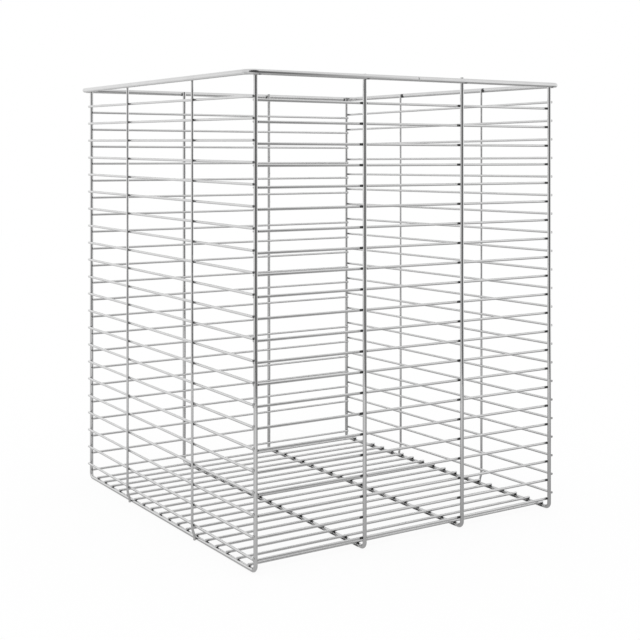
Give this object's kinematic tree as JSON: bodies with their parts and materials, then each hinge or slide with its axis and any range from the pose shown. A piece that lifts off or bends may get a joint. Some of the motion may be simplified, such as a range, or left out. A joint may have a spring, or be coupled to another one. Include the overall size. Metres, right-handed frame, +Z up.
{
  "type": "retail dump bin",
  "caption": "Free-standing open-topped wire basket that holds loose goods in a shop, welded from straight round wires, U-shaped frame wires and a heavier ring around the mouth.",
  "frame": {"origin": "on the ground, in the middle of the bin's plan", "axes": "+X along the front wall from left to right, +Y from the front wall to the back wall, +Z up; the frame wires stand in planes across X"},
  "size_m": [0.598, 0.598, 0.701],
  "materials": {
    "rim_wire": "bright drawn wire",
    "frame_wire": "bright drawn wire",
    "wall_wire": "bright drawn wire",
    "floor_wire": "bright drawn wire"
  },
  "bodies": {
    "root": {"floor_wire_01": "floor_wire", "floor_wire_02": "floor_wire", "floor_wire_03": "floor_wire", "floor_wire_04": "floor_wire", "floor_wire_05": "floor_wire", "floor_wire_06": "floor_wire", "floor_wire_07": "floor_wire", "floor_wire_08": "floor_wire", "floor_wire_09": "floor_wire", "floor_wire_10": "floor_wire", "floor_wire_11": "floor_wire", "floor_wire_12": "floor_wire", "floor_wire_13": "floor_wire", "floor_wire_14": "floor_wire", "floor_wire_15": "floor_wire", "floor_wire_16": "floor_wire", "floor_wire_17": "floor_wire", "floor_wire_18": "floor_wire", "frame_wire_1": "frame_wire", "frame_wire_2": "frame_wire", "frame_wire_3": "frame_wire", "frame_wire_4": "frame_wire", "left_upright_back": "wall_wire", "left_upright_front": "wall_wire", "right_upright_back": "wall_wire", "right_upright_front": "wall_wire", "top_rim": "rim_wire", "wall_course_01": "wall_wire", "wall_course_02": "wall_wire", "wall_course_03": "wall_wire", "wall_course_04": "wall_wire", "wall_course_05": "wall_wire", "wall_course_06": "wall_wire", "wall_course_07": "wall_wire", "wall_course_08": "wall_wire", "wall_course_09": "wall_wire", "wall_course_10": "wall_wire", "wall_course_11": "wall_wire", "wall_course_12": "wall_wire", "wall_course_13": "wall_wire", "wall_course_14": "wall_wire", "wall_course_15": "wall_wire", "wall_course_16": "wall_wire", "wall_course_17": "wall_wire", "wall_course_18": "wall_wire", "wall_course_19": "wall_wire", "wall_course_20": "wall_wire", "wall_course_21": "wall_wire", "wall_course_22": "wall_wire"}
  },
  "joints": []
}
